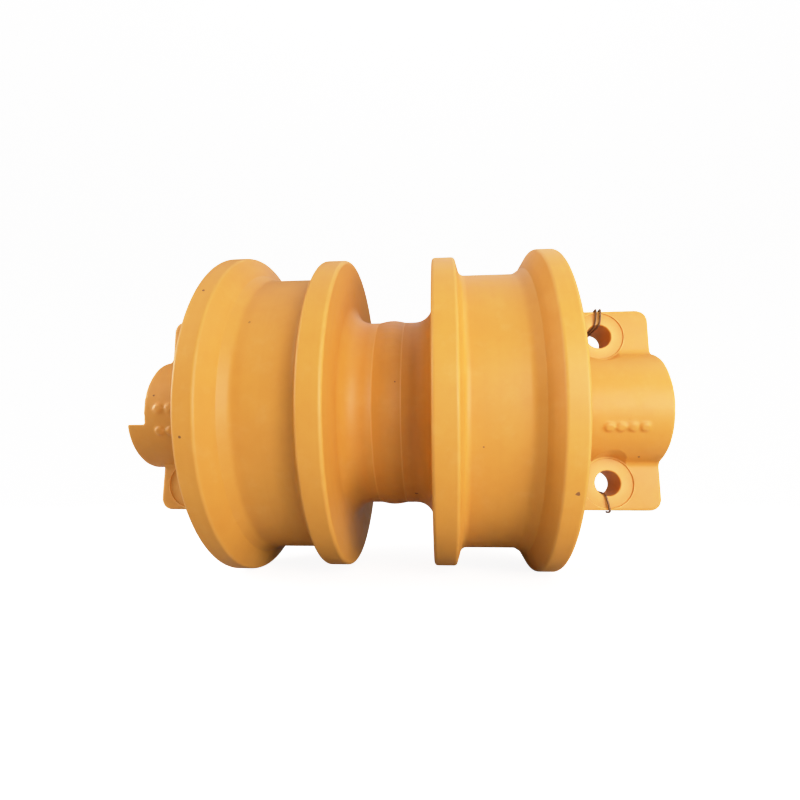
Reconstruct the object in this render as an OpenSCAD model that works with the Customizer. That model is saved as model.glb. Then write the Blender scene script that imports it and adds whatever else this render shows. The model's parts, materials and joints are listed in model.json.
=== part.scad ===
// Double-flange track roller with cast end collars.
// Frame: origin at the middle of the roller on the shaft's axis. +Y runs along the shaft,
// +Z is up as the loose roller stands on its flanges, +X points to the ground side of the
// collars (bolt heads), and the collars' seats face -X.

/* [Running surfaces] */
// Radius of the two outer flanges
outer_flange_r = 120; // [116:0.5:126]
// Radius of the two inner flanges
inner_flange_r = 116.5; // [112:0.5:119]
// Radius of the running treads
tread_r = 103.7; // [100:0.1:106]
// Radius of the neck between the inner flanges
neck_r = 70.6; // [68:0.1:76]

/* [Widths from the middle plane] */
// Inner face of the inner flanges
inner_face_y = 30.3; // [27:0.1:34]
// Outer edge of the inner flange rim
inner_rim_y = 46; // [42:0.5:48]
// Inner edge of the outer flange rim
outer_rim_y = 101; // [98:0.5:104]
// Outer face of the shell
shell_end_y = 115.6; // [114.5:0.1:116]

/* [Collars] */
// Outer end of the right collar, and of the left collar's lug
collar_end_y = 196; // [192:0.5:204]
// How much shorter the left collar's ears and boss are
left_setback = 13.4; // [8:0.1:18]
// Half the width of a collar over its ears
ear_half_w = 76.4; // [75:0.1:82]
// Ground-side face of the ears
ear_face_x = 12; // [9:0.5:16]
// Seat of the collars on the track frame, behind the axis
seat_x = 17; // [15:0.5:20]
// Radius of the half-round boss
boss_r = 43.2; // [41:0.1:46]
// Outer corner radius of the ears
ear_corner_r = 8; // [4:1:12]

/* [Bolting] */
// Distance between bolt holes along the shaft
bolt_pitch_y = 317; // [314:1:320]
// Distance between bolt holes across the shaft
bolt_pitch_z = 112.6; // [111:0.1:115]
// Bolt hole diameter
bolt_hole_d = 18.5; // [17:0.1:20]
// Spot-face diameter
spot_face_d = 37; // [34:0.5:40]
// Spot-face depth
spot_face_depth = 1; // [0.5:0.1:2]

/* [Shaft and bearings] */
// Journal radius of the shaft
shaft_r = 32; // [31:0.5:33]
// Radius of the shaft's thrust collar
thrust_r = 44; // [42:0.5:45]
// Running clearance of the liners on the shaft
running_gap = 0.06; // [0.03:0.01:0.1]
// Outer radius of the bronze liners
liner_r = 38; // [37:0.5:40]
// Screws that hold each bushing housing
screw_count = 6; // [4:1:8]

/* [Hidden] */

$fn = 96;
eps = 0.01;
over = 1;

// Paint and metal colours
paint = [0.85, 0.55, 0.22];
steel = [0.62, 0.63, 0.65];
bronze = [0.72, 0.52, 0.26];
rubber = [0.08, 0.08, 0.09];

// Shell section
rim_round = 2.5;
arc_steps = 5;
neck_fillet_r = 13.5;
inner_foot_r = 5;
inner_side_angle = 71;
inner_side_drop = inner_flange_r - rim_round - tread_r - inner_foot_r;
tread_start_y = inner_rim_y - rim_round
    + (rim_round + inner_foot_r + inner_side_drop * cos(inner_side_angle)) / sin(inner_side_angle);
shoulder_h = 3.9;
shoulder_w = 6.5;
shoulder_in = 5.9;
shoulder_y = outer_rim_y - shoulder_in;
tread_end_y = shoulder_y - shoulder_w;
flange_side_angle = -60;
weld_half_w = 10;
weld_crown = 1.6;
weld_depth = 8;
weld_root_r = neck_r - weld_depth;
weld_arc_r = (weld_half_w * weld_half_w + weld_crown * weld_crown) / (2 * weld_crown);
weld_arc_angle = asin(weld_half_w / weld_arc_r);
relief_in_r = 76;
relief_out_r = 106;
relief_depth = 2.5;
relief_draft = 3;

// Bore and pockets of the shell
bore_r = 46;
flange_pocket_r = 60;
flange_pocket_y = 80;
toric_pocket_r = 61.2;
toric_pocket_y = 92;
mouth_r = 66;
mouth_y = 103;

// Shaft and bearings
thrust_half_w = 18;
thrust_gap = 0.3;
bearing_in_y = 21.5;
shaft_left_y = -178.6;
shaft_right_y = 192;
shaft_chamfer = 2;
flat_start_y = 124;
gallery_r = 4.5;
feed_r = 2.5;
feed_y = 58;
slide_gap = 0.02;
housing_r = bore_r - slide_gap;
housing_flange_r = flange_pocket_r - 0.2;
housing_end_y = toric_pocket_y - 0.4;
liner_end_y = 90;
washer_in_r = shaft_r + 1;

// Housing screws, M6 socket heads
screw_pcd_r = 53;
screw_r = 3;
screw_tip_y = 68;
screw_head_r = 5;
screw_head_h = 6;
screw_hex_r = 2.9;
screw_hex_depth = 3;
screw_head_gap = 0.5;

// O-rings
oring_r = 1.3;
housing_oring_y = 72;
housing_groove_w = 3.4;
shaft_oring_r = 1.5;
shaft_oring_y = 119.5;
shaft_groove_w = 4;

// Floating face seals
seal_face_y = 104;
seal_face_gap = 0.1;
seal_in_r = 44;
seal_rim_r = 56.5;
seal_rim_w = 2.5;
seal_tail_r = 50.2;
seal_root_r = 52;
seal_tail_w = 10.5;
toric_r = 4.9;
toric_centre_r = 56.1;
toric_offset_y = 7.45;

// Collars
cup_r = 65.2;
cup_in_r = 61.2;
cup_mouth_y = 106.9;
cup_floor_y = 116.6;
disc_end_y = 123.5;
ear_in_y = 121;
collar_gap = 0.05;
collar_bore_r = shaft_r + collar_gap;
boss_fillet_r = 4;
scallop_r = 19.4;
scallop_slope = 0.26;
lug_top_z = -13;
pip_r = 3.2;
pip_h = 0.9;
pip_sink = 2;
pip_pitch = 8;
pip_z = -18;
right_pip_y = 152;
left_pip_y = 163;

// Lock pins
pin_r = 6;
pin_y = 150;
pin_z = 29;
pin_depth_x = 9;
pin_recess = 1;
pin_gap = 0.02;

// Fill plug
plug_r = 9;
plug_len = 14;
plug_recess = 1;
plug_hex_r = 5.8;
plug_hex_depth = 7;

// Turns the height of a turned section into the shaft's direction
module along_shaft() {
    rotate([-90, 0, 0]) children();
}

module turned(section) {
    along_shaft() rotate_extrude() polygon(section);
}

// Children drawn for the right side are mirrored to the left side
module left_side() {
    mirror([0, 1, 0]) children();
}

// Ring of rectangular section between two radii and two distances from the middle plane
module ring(r_in, r_out, y_in, y_out) {
    turned([[r_in, y_in], [r_out, y_in], [r_out, y_out], [r_in, y_out]]);
}

module torus(centre_r, tube_r, y) {
    along_shaft() translate([0, 0, y]) rotate_extrude() translate([centre_r, 0]) circle(r = tube_r);
}

// Points of an arc about a centre, from one angle to another
function arc(centre, radius, from, to, steps) = [
    for (i = [0 : steps])
        let (a = from + (to - from) * i / steps)
        centre + radius * [cos(a), sin(a)]
];

// Section of one half shell as [radius, distance from the middle plane]
function shell_section() = concat(
    [[bore_r, 0], [weld_root_r, 0], [neck_r, weld_half_w]],
    arc([neck_r + neck_fillet_r, inner_face_y - neck_fillet_r], neck_fillet_r, 180, 90, arc_steps),
    arc([inner_flange_r - rim_round, inner_face_y + rim_round], rim_round, -90, 0, arc_steps),
    arc([inner_flange_r - rim_round, inner_rim_y - rim_round], rim_round, 0, inner_side_angle, arc_steps),
    arc([tread_r + inner_foot_r, tread_start_y], inner_foot_r, 180 + inner_side_angle, 180, arc_steps),
    [[tread_r, tread_end_y], [tread_r + shoulder_h, shoulder_y]],
    arc([outer_flange_r - rim_round, outer_rim_y + rim_round], rim_round, flange_side_angle, 0, arc_steps),
    arc([outer_flange_r - rim_round, shell_end_y - rim_round], rim_round, 0, 90, arc_steps),
    [
        [relief_out_r, shell_end_y],
        [relief_out_r - relief_draft, shell_end_y - relief_depth],
        [relief_in_r + relief_draft, shell_end_y - relief_depth],
        [relief_in_r, shell_end_y],
        [mouth_r, shell_end_y],
        [mouth_r, mouth_y],
        [toric_pocket_r, mouth_y],
        [toric_pocket_r, toric_pocket_y],
        [flange_pocket_r, toric_pocket_y],
        [flange_pocket_r, flange_pocket_y],
        [bore_r, flange_pocket_y],
    ]
);

// Children at each housing screw, with their own +Z along the shaft
module at_screws() {
    along_shaft()
        for (i = [0 : screw_count - 1])
            rotate([0, 0, 360 * (i + 0.5) / screw_count]) translate([screw_pcd_r, 0, 0]) children();
}

module half_shell() {
    color(paint) difference() {
        turned(shell_section());
        at_screws()
            translate([0, 0, screw_tip_y])
                cylinder(r = screw_r, h = flange_pocket_y - screw_tip_y + over);
    }
}

module shell_right() {
    half_shell();
}

module shell_left() {
    left_side() half_shell();
}

// Bead in the V of the joint, with a low crown over the neck
module centre_weld() {
    centre = [neck_r + weld_crown - weld_arc_r, 0];
    crown = arc(centre, weld_arc_r, weld_arc_angle, -weld_arc_angle, 2 * arc_steps);
    color(paint) turned(concat([[weld_root_r, 0]], crown));
}

module shaft() {
    pin_hole_y = [-pin_y, pin_y];
    color(steel) difference() {
        turned([
            [0, shaft_left_y], [shaft_r - shaft_chamfer, shaft_left_y],
            [shaft_r, shaft_left_y + shaft_chamfer], [shaft_r, -thrust_half_w],
            [thrust_r, -thrust_half_w], [thrust_r, thrust_half_w],
            [shaft_r, thrust_half_w], [shaft_r, shaft_right_y - shaft_chamfer],
            [shaft_r - shaft_chamfer, shaft_right_y], [0, shaft_right_y],
        ]);
        for (side = [-1, 1])
            translate([-seat_x - shaft_r, side * (flat_start_y + shaft_r * 2), 0])
                cube([2 * shaft_r, 4 * shaft_r, 2 * shaft_r + over], center = true);
        for (y = pin_hole_y)
            translate([-seat_x - over, y, pin_z]) rotate([0, 90, 0])
                cylinder(r = pin_r, h = seat_x + pin_depth_x + over);
        along_shaft() translate([0, 0, -feed_y]) cylinder(r = gallery_r, h = feed_y + shaft_right_y);
        along_shaft() translate([0, 0, shaft_right_y - plug_len - plug_recess])
            cylinder(r = plug_r, h = plug_len + plug_recess + over);
        for (y = [-feed_y, feed_y])
            translate([0, y, 0]) rotate([0, 90, 0]) cylinder(r = feed_r, h = shaft_r + over);
    }
}

// Outline of ears, boss and their fillets, in the plane across the shaft: [x, z]
module saddle_outline() {
    fillet_x = ear_face_x + boss_fillet_r;
    reach = boss_r + boss_fillet_r;
    fillet_z = sqrt(reach * reach - fillet_x * fillet_x);
    touch = boss_r / reach;
    translate([-seat_x, -ear_half_w]) square([seat_x + ear_face_x, 2 * ear_half_w]);
    intersection() {
        circle(r = boss_r);
        translate([-seat_x, -boss_r]) square([seat_x + boss_r, 2 * boss_r]);
    }
    for (side = [-1, 1])
        scale([1, side])
            difference() {
                polygon([
                    [0, fillet_z - boss_fillet_r], [fillet_x * touch, fillet_z * touch],
                    [fillet_x, fillet_z], [ear_face_x, fillet_z], [0, fillet_z],
                ]);
                translate([fillet_x, fillet_z]) circle(r = boss_fillet_r);
            }
}

// Outline of the ears seen from the ground: [y, z], with rounded outer corners
module ear_outline(end_y) {
    r = ear_corner_r;
    translate([ear_in_y, -ear_half_w]) square([end_y - ear_in_y - r, 2 * ear_half_w]);
    translate([ear_in_y, r - ear_half_w]) square([end_y - ear_in_y, 2 * (ear_half_w - r)]);
    for (side = [-1, 1])
        translate([end_y - r, side * (ear_half_w - r)]) circle(r = r);
}

// Row of plain raised pips where a casting carries its marks
module cast_pips(count, first_y, z) {
    tilt = asin(z / boss_r);
    for (i = [0 : count - 1])
        translate([0, first_y + i * pip_pitch, 0]) rotate([0, 90 - tilt, 0])
            translate([0, 0, boss_r - pip_sink]) cylinder(r = pip_r, h = pip_sink + pip_h);
}

module collar_body(end_y) {
    intersection() {
        translate([0, ear_in_y, 0]) rotate([90, 0, 0]) mirror([0, 0, 1])
            linear_extrude(height = end_y - ear_in_y) saddle_outline();
        translate([-seat_x - over, 0, 0]) rotate([90, 0, 90])
            linear_extrude(height = seat_x + boss_r + 2 * over) ear_outline(end_y);
    }
    ring(shaft_r - over, cup_r, cup_floor_y, disc_end_y);
    ring(cup_in_r, cup_r, cup_mouth_y, cup_floor_y + over);
}

module collar_cuts(end_y) {
    along_shaft() translate([0, 0, cup_floor_y - over])
        cylinder(r = collar_bore_r, h = collar_end_y - cup_floor_y + 2 * over);
    ring(shaft_r - over, collar_bore_r + 2 * shaft_oring_r,
        shaft_oring_y - shaft_groove_w / 2, shaft_oring_y + shaft_groove_w / 2);
    for (side = [-1, 1])
        translate([0, bolt_pitch_y / 2, side * bolt_pitch_z / 2]) rotate([0, 90, 0]) {
            translate([0, 0, -seat_x - over]) cylinder(d = bolt_hole_d, h = seat_x + ear_face_x + 2 * over);
            translate([0, 0, ear_face_x - spot_face_depth]) cylinder(d = spot_face_d, h = boss_r);
            translate([0, 0, ear_face_x])
                cylinder(r1 = scallop_r, r2 = scallop_r + scallop_slope * boss_r, h = boss_r);
        }
    translate([-seat_x - over, pin_y, pin_z]) rotate([0, 90, 0])
        cylinder(r = pin_r, h = seat_x + pin_depth_x + over);
}

module collar_right() {
    color(paint) difference() {
        union() {
            collar_body(collar_end_y);
            cast_pips(4, right_pip_y, pip_z);
        }
        collar_cuts(collar_end_y);
    }
}

// Half-moon lug on the end face of the left collar, a lip round the shaft's bore
module end_lug() {
    intersection() {
        ring(collar_bore_r, boss_r, collar_end_y - left_setback - over, collar_end_y);
        translate([-seat_x, 0, -boss_r - over]) cube([seat_x + boss_r + over, collar_end_y + over,
            boss_r + over + lug_top_z]);
    }
}

module collar_left() {
    color(paint) left_side() difference() {
        union() {
            collar_body(collar_end_y - left_setback);
            end_lug();
            cast_pips(2, left_pip_y, pip_z);
            cast_pips(2, left_pip_y, pip_z + 2 * pip_pitch);
        }
        collar_cuts(collar_end_y);
    }
}

// Flanged steel sleeve that carries the liner, with counterbored screw holes
module bush_housing() {
    color(steel) difference() {
        turned([
            [liner_r, bearing_in_y], [housing_r, bearing_in_y], [housing_r, flange_pocket_y],
            [housing_flange_r, flange_pocket_y], [housing_flange_r, housing_end_y], [liner_r, housing_end_y],
        ]);
        ring(housing_r - 2 * oring_r, housing_r + over, housing_oring_y - housing_groove_w / 2,
            housing_oring_y + housing_groove_w / 2);
        at_screws() {
            translate([0, 0, flange_pocket_y - over]) cylinder(r = screw_r, h = 2 * toric_pocket_y);
            translate([0, 0, housing_end_y - screw_head_h - screw_head_gap])
                cylinder(r = screw_head_r + screw_head_gap, h = toric_pocket_y);
        }
    }
}

module bush_housing_right() {
    bush_housing();
}

module bush_housing_left() {
    left_side() bush_housing();
}

module bush_liner() {
    color(bronze) ring(shaft_r + running_gap, liner_r, bearing_in_y, liner_end_y);
}

module bush_liner_right() {
    bush_liner();
}

module bush_liner_left() {
    left_side() bush_liner();
}

module thrust_washer() {
    color(bronze) ring(washer_in_r, thrust_r, thrust_half_w + thrust_gap, bearing_in_y);
}

module thrust_washer_right() {
    thrust_washer();
}

module thrust_washer_left() {
    left_side() thrust_washer();
}

module housing_screws() {
    head_y = housing_end_y - screw_head_h - screw_head_gap;
    color(steel) at_screws() difference() {
        union() {
            translate([0, 0, screw_tip_y]) cylinder(r = screw_r, h = head_y - screw_tip_y + eps);
            translate([0, 0, head_y]) cylinder(r = screw_head_r, h = screw_head_h);
        }
        translate([0, 0, head_y + screw_head_h - screw_hex_depth])
            cylinder(r = screw_hex_r, h = screw_hex_depth + over, $fn = 6);
    }
}

module housing_screws_right() {
    housing_screws();
}

module housing_screws_left() {
    left_side() housing_screws();
}

module housing_oring_right() {
    color(rubber) torus(housing_r - oring_r, oring_r - slide_gap, housing_oring_y);
}

module housing_oring_left() {
    left_side() housing_oring_right();
}

// Metal ring of a floating seal: running face at face_y, its tail towards dir
module seal_ring(face_y, dir) {
    rim_y = face_y + dir * seal_rim_w;
    tail_y = face_y + dir * seal_tail_w;
    color(steel) turned([
        [seal_in_r, face_y], [seal_rim_r, face_y], [seal_rim_r, rim_y],
        [seal_root_r, rim_y], [seal_tail_r, tail_y], [seal_in_r, tail_y],
    ]);
}

module rotating_seal_ring_right() {
    seal_ring(seal_face_y, -1);
}

module rotating_seal_ring_left() {
    left_side() rotating_seal_ring_right();
}

module static_seal_ring_right() {
    seal_ring(seal_face_y + seal_face_gap, 1);
}

module static_seal_ring_left() {
    left_side() static_seal_ring_right();
}

module rotating_toric_right() {
    color(rubber) torus(toric_centre_r, toric_r, seal_face_y - toric_offset_y);
}

module rotating_toric_left() {
    left_side() rotating_toric_right();
}

module static_toric_right() {
    color(rubber) torus(toric_centre_r, toric_r, seal_face_y + seal_face_gap + toric_offset_y);
}

module static_toric_left() {
    left_side() static_toric_right();
}

module shaft_oring_right() {
    color(rubber) torus(collar_bore_r + shaft_oring_r, shaft_oring_r - slide_gap, shaft_oring_y);
}

module shaft_oring_left() {
    left_side() shaft_oring_right();
}

module lock_pin_right() {
    color(steel) translate([pin_recess - seat_x, pin_y, pin_z]) rotate([0, 90, 0])
        cylinder(r = pin_r - pin_gap, h = seat_x + pin_depth_x - pin_recess);
}

module lock_pin_left() {
    left_side() lock_pin_right();
}

module fill_plug() {
    color(steel) along_shaft() translate([0, 0, shaft_right_y - plug_len - plug_recess]) difference() {
        cylinder(r = plug_r - slide_gap, h = plug_len);
        translate([0, 0, plug_len - plug_hex_depth])
            cylinder(r = plug_hex_r, h = plug_hex_depth + over, $fn = 6);
    }
}

shell_left();
shell_right();
centre_weld();
shaft();
collar_left();
collar_right();
bush_housing_left();
bush_housing_right();
bush_liner_left();
bush_liner_right();
thrust_washer_left();
thrust_washer_right();
housing_screws_left();
housing_screws_right();
housing_oring_left();
housing_oring_right();
rotating_seal_ring_left();
rotating_seal_ring_right();
rotating_toric_left();
rotating_toric_right();
static_seal_ring_left();
static_seal_ring_right();
static_toric_left();
static_toric_right();
shaft_oring_left();
shaft_oring_right();
lock_pin_left();
lock_pin_right();
fill_plug();
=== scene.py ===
"""Studio scene of a double-flange track roller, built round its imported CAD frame.

Frame: metres, origin at the middle of the shaft's axis. +Y runs along the shaft, +Z is up as the
loose roller stands on its flanges, and +X points to the ground side of the end collars.
"""

import json
import logging
import math
from dataclasses import dataclass
from enum import Enum
from typing import Iterable, Sequence

import bmesh
import bpy
from bpy.types import Material, Node, NodeSocket, NodeTree, Object
from mathutils import Matrix, Vector, noise


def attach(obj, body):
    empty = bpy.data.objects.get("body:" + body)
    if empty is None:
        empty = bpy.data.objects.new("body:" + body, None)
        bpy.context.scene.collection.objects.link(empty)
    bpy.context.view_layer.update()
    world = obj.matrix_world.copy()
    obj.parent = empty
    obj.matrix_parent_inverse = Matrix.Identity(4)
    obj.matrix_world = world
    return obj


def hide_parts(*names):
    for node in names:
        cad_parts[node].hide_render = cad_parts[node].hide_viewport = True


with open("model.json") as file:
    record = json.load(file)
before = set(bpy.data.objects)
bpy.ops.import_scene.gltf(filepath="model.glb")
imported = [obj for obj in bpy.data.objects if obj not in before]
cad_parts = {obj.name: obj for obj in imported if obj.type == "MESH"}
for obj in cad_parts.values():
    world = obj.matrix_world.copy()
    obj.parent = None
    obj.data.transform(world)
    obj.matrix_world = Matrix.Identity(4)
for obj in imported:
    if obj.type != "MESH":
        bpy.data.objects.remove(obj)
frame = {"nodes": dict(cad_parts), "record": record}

LOG = logging.getLogger("track_roller")
MM = 0.001
SHAFT_AXIS = Vector((0.0, 1.0, 0.0))
ALONG_SHAFT = Matrix.Rotation(math.radians(-90.0), 4, "X")
TURN_STEPS = 192
END_Y = 196.0
LEFT_SETBACK = 13.4
PIP_PITCH = 8.0
PIP_ROW_Z = -18.0
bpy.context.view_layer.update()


class Side(Enum):
    """The end of the roller that a piece belongs to, with the sign of its Y."""

    LEFT = -1
    RIGHT = 1

    @property
    def word(self) -> str:
        """The side's name as the CAD nodes spell it.

        Returns:
            The name, in small letters.
        """
        return self.name.lower()


class Body(Enum):
    """The two rigid bodies of the roller."""

    FIXED = "root"
    TURNING = "roller"


# ------------------------------------------------------------------ turned sections


@dataclass(frozen=True)
class Corner:
    """A corner of a turned section.

    Args:
        r: Distance from the shaft's axis, in millimetres.
        y: Distance from the middle plane, in millimetres.
        rounding: Radius of its rounding, in millimetres.
    """

    r: float
    y: float
    rounding: float = 0.0

    def point(self) -> Vector:
        """The corner in metres, as radius and distance along the shaft.

        Returns:
            The corner as a flat vector.
        """
        return Vector((self.r, self.y)) * MM


def rounded_outline(
    corners: Sequence[Corner], closed: bool = True, degrees_a_step: float = 11.0,
) -> list[Vector]:
    """Rounds the corners of an outline with true arcs.

    Each arc is held by a point just outside its ends, so that smooth shading stays on the rounding.

    Args:
        corners: The outline's corners in order.
        closed: Whether the last corner joins the first.
        degrees_a_step: Turn of the arc for each of its points.

    Returns:
        The outline's points, as radius and distance along the shaft, in metres.
    """
    points: list[Vector] = []
    count = len(corners)
    for index, corner in enumerate(corners):
        here = corner.point()
        at_end = not closed and index in (0, count - 1)
        if corner.rounding <= 0.0 or at_end:
            points.append(here)
            continue
        to_last = (corners[index - 1].point() - here).normalized()
        to_next = (corners[(index + 1) % count].point() - here).normalized()
        opening = to_last.angle(to_next)
        radius = corner.rounding * MM
        tangent = radius / math.tan(opening / 2.0)
        centre = here + (to_last + to_next).normalized() * (radius / math.sin(opening / 2.0))
        start = here + to_last * tangent - centre
        turn = start.angle_signed(here + to_next * tangent - centre)
        steps = max(2, round(math.degrees(abs(turn)) / degrees_a_step))
        hold = 0.08 * radius
        points.append(here + to_last * (tangent + hold))
        for step in range(steps + 1):
            points.append(centre + Matrix.Rotation(-turn * step / steps, 2) @ start)
        points.append(here + to_next * (tangent + hold))
    return points


def turned(outline: Sequence[Vector], closed: bool = True, steps: int = TURN_STEPS) -> bmesh.types.BMesh:
    """Spins an outline about the shaft's axis.

    Args:
        outline: Points as radius and distance along the shaft, in metres.
        closed: Whether the last point joins the first.
        steps: Number of steps in the full turn.

    Returns:
        The turned mesh, closed at its seam, with its faces pointing outwards.
    """
    shape = bmesh.new()
    verts = [shape.verts.new((point.x, point.y, 0.0)) for point in outline]
    ends = verts[1:] + (verts[:1] if closed else [])
    edges = [shape.edges.new(pair) for pair in zip(verts, ends)]
    bmesh.ops.spin(
        shape, geom=verts + edges, cent=(0.0, 0.0, 0.0), axis=SHAFT_AXIS,
        angle=math.tau, steps=steps, use_merge=True,
    )
    bmesh.ops.remove_doubles(shape, verts=shape.verts, dist=0.002 * MM)
    bmesh.ops.recalc_face_normals(shape, faces=shape.faces)
    return shape


def to_side(shape: bmesh.types.BMesh, side: Side) -> bmesh.types.BMesh:
    """Mirrors a shape drawn for the right side where the left side is asked for.

    Args:
        shape: The shape, drawn on the +Y side.
        side: The side that it is for.

    Returns:
        The same shape, on its side, with its faces pointing outwards.
    """
    if side is Side.LEFT:
        bmesh.ops.transform(shape, matrix=Matrix.Scale(-1.0, 4, SHAFT_AXIS), verts=shape.verts)
        bmesh.ops.reverse_faces(shape, faces=shape.faces)
    return shape


def add_part(name: str, shape: bmesh.types.BMesh, crease_degrees: float = 40.0) -> Object:
    """Makes a smooth-shaded object of a shape and frees the shape.

    Args:
        name: Name of the new piece.
        shape: Its mesh, in its place.
        crease_degrees: Angle past which an edge is shaded sharp.

    Returns:
        The object, at the origin, in the scene.
    """
    mesh = bpy.data.meshes.new(name)
    shape.to_mesh(mesh)
    shape.free()
    mesh.shade_smooth()
    mesh.set_sharp_from_angle(angle=math.radians(crease_degrees))
    piece = bpy.data.objects.new(name, mesh)
    bpy.context.scene.collection.objects.link(piece)
    return piece


def settle_modifiers(piece: Object) -> Object:
    """Applies a piece's modifiers to its mesh.

    Args:
        piece: The object whose modifiers are applied.

    Returns:
        The same object, with the result as its own mesh and no modifiers.
    """
    graph = bpy.context.evaluated_depsgraph_get()
    graph.update()
    result = bpy.data.meshes.new_from_object(piece.evaluated_get(graph))
    piece.modifiers.clear()
    piece.data = result
    return piece


def cut(piece: Object, cutters: Iterable[bmesh.types.BMesh]) -> Object:
    """Cuts machined features out of a piece.

    Args:
        piece: The piece to cut.
        cutters: Closed shapes that are taken away.

    Returns:
        The same piece, with crisp cuts.
    """
    tools = []
    for index, shape in enumerate(cutters):
        tool = add_part(f"{piece.name}_cutter_{index}", shape)
        change = piece.modifiers.new("cut", "BOOLEAN")
        change.operation = "DIFFERENCE"
        change.solver = "EXACT"
        change.object = tool
        tools.append(tool)
    settle_modifiers(piece)
    for tool in tools:
        bpy.data.objects.remove(tool)
    return piece


def round_bar(
    radius: float, length: float, place: Matrix, chamfer: float = 0.0, sides: int = 64,
) -> bmesh.types.BMesh:
    """A round bar along its own Z, from 0 to its length.

    Args:
        radius: Its radius, in millimetres.
        length: Its length, in millimetres.
        place: Where it goes, in metres.
        chamfer: Rounding of its rims, in millimetres.
        sides: Number of its sides.

    Returns:
        The bar.
    """
    bar = bmesh.new()
    bmesh.ops.create_cone(
        bar, cap_ends=True, segments=sides, radius1=radius * MM, radius2=radius * MM,
        depth=length * MM, matrix=Matrix.Translation((0.0, 0.0, length * MM / 2.0)),
    )
    if chamfer > 0.0:
        rims = [edge for edge in bar.edges if abs(edge.verts[0].co.z - edge.verts[1].co.z) < 1e-7]
        bmesh.ops.bevel(
            bar, geom=rims, offset=chamfer * MM, affect="EDGES", segments=3, profile=0.5, material=-1,
        )
    bmesh.ops.transform(bar, matrix=place, verts=bar.verts)
    return bar


def merged(shapes: Iterable[bmesh.types.BMesh]) -> bmesh.types.BMesh:
    """Puts several shapes into one mesh and frees them.

    Args:
        shapes: The shapes.

    Returns:
        One mesh that holds them all.
    """
    whole = bmesh.new()
    for shape in shapes:
        carrier = bpy.data.meshes.new("carrier")
        shape.to_mesh(carrier)
        shape.free()
        whole.from_mesh(carrier)
        bpy.data.meshes.remove(carrier)
    return whole


def mark_edges(piece: Object, reach: int = 2) -> Object:
    """Stores how far each vertex stands out of its surroundings, for the paler paint on edges: a painted
    highlight, with thinned paint there too.

    Args:
        piece: The piece whose mesh gets the attribute "edge".
        reach: How often the value is spread to the neighbours.

    Returns:
        The same piece.
    """
    shape = bmesh.new()
    shape.from_mesh(piece.data)
    shape.verts.ensure_lookup_table()
    shape.normal_update()
    bulge = [0.0] * len(shape.verts)
    for vert in shape.verts:
        total = 0.0
        for edge in vert.link_edges:
            step = edge.other_vert(vert).co - vert.co
            length = max(step.length, 1e-7)
            total = max(total, -step.dot(vert.normal) / (length * max(length, 0.4 * MM)))
        bulge[vert.index] = min(1.0, max(0.0, total * MM))
    for _ in range(reach):
        spread = list(bulge)
        for vert in shape.verts:
            near = [bulge[edge.other_vert(vert).index] for edge in vert.link_edges]
            if near:
                spread[vert.index] = 0.5 * bulge[vert.index] + 0.5 * sum(near) / len(near)
        bulge = spread
    shape.free()
    values = piece.data.attributes.new("edge", "FLOAT", "POINT")
    values.data.foreach_set("value", bulge)
    return piece


# ------------------------------------------------------------------ finishes


class Canvas:
    """Adds and wires nodes in one node tree."""

    def __init__(self, tree: NodeTree) -> None:
        """Takes the tree that the nodes go into.

        Args:
            tree: The node tree of a material or of an effect.
        """
        self.tree = tree

    def node(self, kind: str, wires: dict[str, object] | None = None, **settings: object) -> Node:
        """Adds a node.

        Args:
            kind: Blender's identifier of the node.
            wires: For each input, by name or number, a socket to link or a value to set.
            settings: Properties of the node.

        Returns:
            The new node.
        """
        made = self.tree.nodes.new(kind)
        for key, value in settings.items():
            setattr(made, key, value)
        for key, value in (wires or {}).items():
            socket = made.inputs[int(key) if key.isdigit() else key]
            if isinstance(value, NodeSocket):
                self.tree.links.new(value, socket)
            else:
                socket.default_value = value
        return made

    def math(self, operation: str, first: object, second: object = 0.0, third: object = 0.0) -> NodeSocket:
        """One Math node.

        Args:
            operation: What it does, such as MULTIPLY.
            first: Its first input, a socket or a number.
            second: Its second input.
            third: Its third input.

        Returns:
            The node's output.
        """
        wires = {"0": first, "1": second, "2": third}
        return self.node("ShaderNodeMath", wires, operation=operation).outputs[0]

    def band(self, value: object, low: float, high: float) -> NodeSocket:
        """A smooth step of a value.

        Args:
            value: The socket that is read.
            low: Where the step starts.
            high: Where the step ends.

        Returns:
            0 below the step and 1 above it.
        """
        wires = {"Value": value, "From Min": low, "From Max": high, "To Min": 0.0, "To Max": 1.0}
        made = self.node("ShaderNodeMapRange", wires, interpolation_type="SMOOTHSTEP")
        return made.outputs["Result"]

    def blend(self, factor: object, first: object, second: object, mode: str = "MIX") -> NodeSocket:
        """A mix of two colours.

        Args:
            factor: Share of the second colour.
            first: The first colour, a socket or four numbers.
            second: The second colour.
            mode: How they are mixed.

        Returns:
            The mixed colour.
        """
        made = self.node("ShaderNodeMix", data_type="RGBA", blend_type=mode)
        for name, value in (("Factor_Float", factor), ("A_Color", first), ("B_Color", second)):
            socket = next(entry for entry in made.inputs if entry.identifier == name)
            if isinstance(value, NodeSocket):
                self.tree.links.new(value, socket)
            else:
                socket.default_value = value
        return next(entry for entry in made.outputs if entry.identifier == "Result_Color")

    def noise(self, place: object, scale: float, detail: float = 2.0, roughness: float = 0.5) -> NodeSocket:
        """A noise pattern.

        Args:
            place: Where it is read, a vector socket.
            scale: Cells a metre.
            detail: Number of finer layers.
            roughness: Strength of the finer layers.

        Returns:
            The pattern, about 0 to 1.
        """
        wires = {"Vector": place, "Scale": scale, "Detail": detail, "Roughness": roughness}
        return self.node("ShaderNodeTexNoise", wires).outputs[0]


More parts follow.
